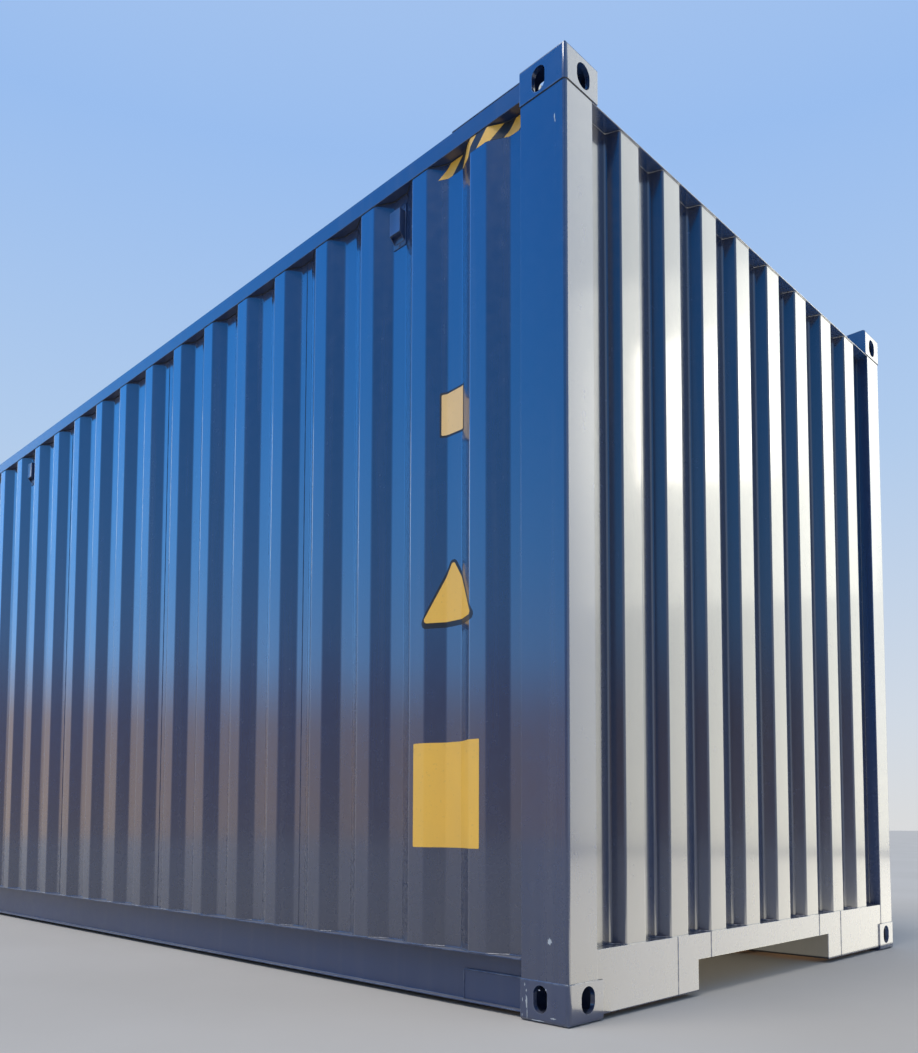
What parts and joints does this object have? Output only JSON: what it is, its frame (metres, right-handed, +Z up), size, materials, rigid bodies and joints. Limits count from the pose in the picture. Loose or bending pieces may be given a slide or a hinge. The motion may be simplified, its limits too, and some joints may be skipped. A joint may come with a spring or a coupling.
{
  "type": "shipping container",
  "caption": "Long high steel freight container with corrugated walls, corner castings, a blind front end, twin doors at the rear and a tunnel under the front.",
  "frame": {"origin": "centre of the footprint, on the underside of the bottom corner castings", "axes": "+Z up; X along the length with the blind front end at +X and the doors at -X; Y across, the side in the picture at -Y"},
  "size_m": [12.192, 2.438, 2.896],
  "materials": {
    "body_paint": "gloss",
    "sheet_paint": "gloss",
    "casting_paint": "semi-gloss",
    "gear_paint": "semi-gloss",
    "base_paint": "matt",
    "plywood": "satin",
    "seal_rubber": "matt",
    "vent_plastic": "satin"
  },
  "bodies": {
    "root": {"casting_bottom_front_right": "casting_paint", "casting_bottom_front_left": "casting_paint", "casting_bottom_rear_right": "casting_paint", "casting_bottom_rear_left": "casting_paint", "casting_top_front_right": "casting_paint", "casting_top_front_left": "casting_paint", "casting_top_rear_right": "casting_paint", "casting_top_rear_left": "casting_paint", "front_post_right": "body_paint", "front_post_left": "body_paint", "rear_post_right": "body_paint", "rear_post_left": "body_paint", "bottom_rail_right": "body_paint", "bottom_rail_left": "body_paint", "rail_end_plates": "body_paint", "top_rail_right": "body_paint", "top_rail_left": "body_paint", "side_wall_right": "sheet_paint", "side_wall_left": "sheet_paint", "front_wall": "sheet_paint", "front_sill": "body_paint", "front_header": "body_paint", "header_plates": "body_paint", "roof": "sheet_paint", "roof_corner_plates": "body_paint", "floor": "plywood", "cross_members": "base_paint", "tunnel_plate": "base_paint", "tunnel_bolster": "base_paint", "tunnel_outriggers_right": "base_paint", "tunnel_outriggers_left": "base_paint", "door_sill": "body_paint", "door_header": "body_paint", "door_frame_right": "body_paint", "door_frame_left": "body_paint", "door_panels": "sheet_paint", "door_seals": "seal_rubber", "lock_bar_right_outer": "gear_paint", "lock_bar_right_inner": "gear_paint", "lock_bar_left_inner": "gear_paint", "lock_bar_left_outer": "gear_paint", "cam_keepers": "gear_paint", "bar_brackets": "gear_paint", "door_handles": "gear_paint", "handle_catches": "gear_paint", "hinge_straps": "gear_paint", "hinge_lugs": "gear_paint", "vents": "vent_plastic"}
  },
  "joints": []
}
